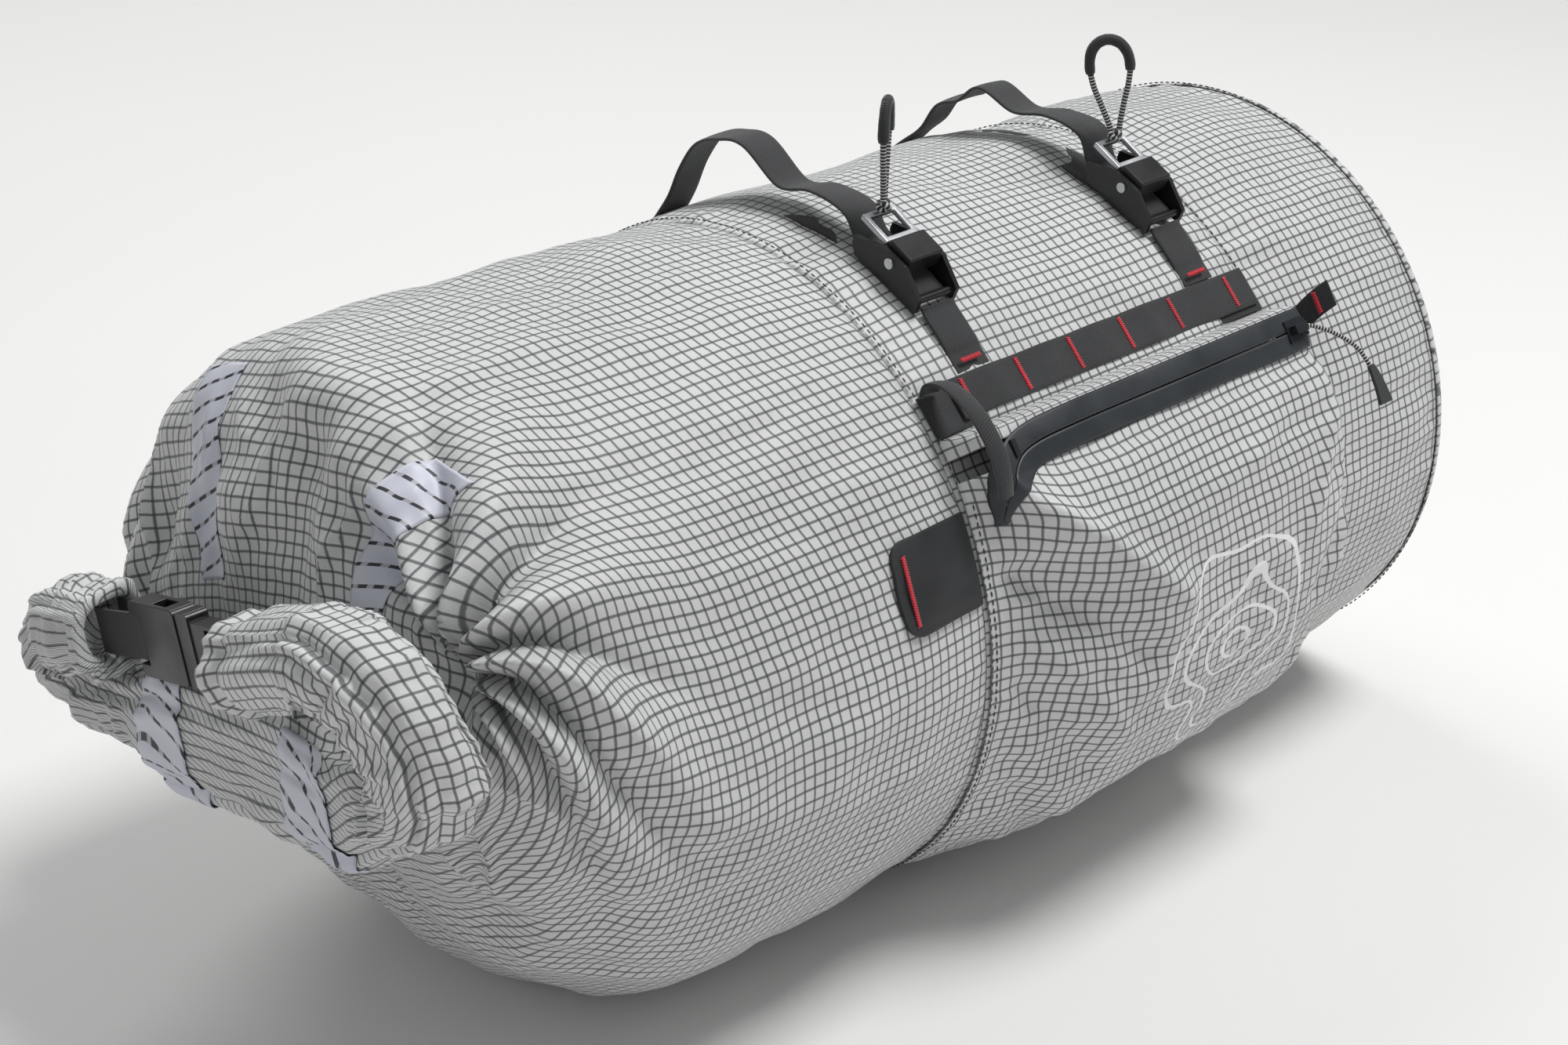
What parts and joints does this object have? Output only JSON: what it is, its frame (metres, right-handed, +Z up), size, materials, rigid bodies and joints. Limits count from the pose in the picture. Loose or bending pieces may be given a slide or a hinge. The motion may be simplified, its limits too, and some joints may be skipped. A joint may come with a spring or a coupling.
{
  "type": "roll-top stuff sack",
  "caption": "Round roll-top stuff sack lying on its side, with a zipped front pocket, cam straps with pull cords, a webbing chain and a side-release buckle.",
  "frame": {"origin": "middle of the centre panel's flattened underside, on the surface that the sack lies on", "axes": "+X along the sack from the roll top to the closed end, -Y towards the zipped pocket, +Z up"},
  "size_m": [0.5063, 0.2817, 0.2973],
  "materials": {
    "ripstop": "satin",
    "seam_tape": "satin",
    "black_plastic": "satin",
    "webbing": "matte",
    "reflective_film": "satin",
    "zip_tape": "satin",
    "zip_metal": "satin",
    "cord": "matte",
    "sheath": "satin",
    "rubber": "matte",
    "tack_thread": "matte",
    "silver_metal": "satin",
    "spring_steel": "satin"
  },
  "bodies": {
    "shell": {"roll_end_panel": "ripstop", "centre_panel": "ripstop", "far_panel": "ripstop", "end_disc": "ripstop", "roll_top": "ripstop", "pocket_front": "ripstop", "pocket_top_strip": "ripstop", "seam_tape_left": "seam_tape", "seam_tape_right": "seam_tape", "mouth_stiffener": "black_plastic", "buckle_female": "black_plastic", "cam_frame_left": "black_plastic", "cam_frame_right": "black_plastic", "buckle_web_female": "webbing", "zip_tab_left": "webbing", "zip_tab_right": "webbing", "daisy_base": "webbing", "daisy_webbing": "webbing", "strap_base_left": "webbing", "strap_base_right": "webbing", "strap_lower_left": "webbing", "strap_lower_right": "webbing", "strap_long_left": "webbing", "strap_long_right": "webbing", "reflective_strip_left": "reflective_film", "reflective_strip_right": "reflective_film", "zip_tape_lower": "zip_tape", "zip_tape_upper": "zip_tape", "zip_coil": "zip_metal", "zip_stop_left": "zip_metal", "zip_stop_right": "zip_metal", "light_patch": "rubber", "bar_tacks": "tack_thread", "cam_pin_left": "silver_metal", "cam_pin_right": "silver_metal", "cam_spring_left": "spring_steel", "cam_spring_right": "spring_steel"},
    "cam_left": {"cam_block_left": "black_plastic", "cam_tab_left": "silver_metal", "cam_jaw_left": "silver_metal", "pull_cord_left": "cord", "cord_sheath_left": "sheath", "cord_knot_left": "cord"},
    "cam_right": {"cam_block_right": "black_plastic", "cam_tab_right": "silver_metal", "cam_jaw_right": "silver_metal", "pull_cord_right": "cord", "cord_sheath_right": "sheath", "cord_knot_right": "cord"},
    "slider": {"zip_slider": "zip_metal"},
    "zip_pull": {"zip_pull_cord": "cord", "zip_pull_tab": "rubber"},
    "male_half": {"buckle_male": "black_plastic", "buckle_web_male": "webbing"},
    "prong_upper": {"buckle_prong_upper": "black_plastic"},
    "prong_lower": {"buckle_prong_lower": "black_plastic"}
  },
  "joints": [
    {"name": "cam_left_hinge", "type": "hinge", "parent": "shell", "child": "cam_left", "pos_m": [-0.058, -0.0549, 0.24477], "axis": [1, 0, 0], "range_deg": [0, 45], "stiffness_Nm_per_rad": 0.02},
    {"name": "cam_right_hinge", "type": "hinge", "parent": "shell", "child": "cam_right", "pos_m": [0.062, -0.05366, 0.24197], "axis": [1, 0, 0], "range_deg": [0, 45], "stiffness_Nm_per_rad": 0.02},
    {"name": "slider_travel", "type": "slide", "parent": "shell", "child": "slider", "axis": [1, 0, 0], "range_m": [-0.14, 0]},
    {"name": "zip_pull_swing", "type": "hinge", "parent": "slider", "child": "zip_pull", "pos_m": [0.0755, -0.12079, 0.20047], "axis": [-1, 0, 0], "range_deg": [0, 70]},
    {"name": "buckle_release", "type": "slide", "parent": "shell", "child": "male_half", "axis": [0, -0.9659, 0.2588], "range_m": [0, 0.014]},
    {"name": "prong_upper_squeeze", "type": "hinge", "parent": "male_half", "child": "prong_upper", "pos_m": [-0.3083, 0.01666, 0.16648], "axis": [-1, 0, 0], "range_deg": [0, 8], "stiffness_Nm_per_rad": 0.01},
    {"name": "prong_lower_squeeze", "type": "hinge", "parent": "male_half", "child": "prong_lower", "pos_m": [-0.3083, 0.01298, 0.15277], "axis": [1, 0, 0], "range_deg": [0, 8], "stiffness_Nm_per_rad": 0.01}
  ],
  "couplings": [
    {"joint": "prong_lower_squeeze", "follows": "prong_upper_squeeze", "ratio": 1}
  ]
}
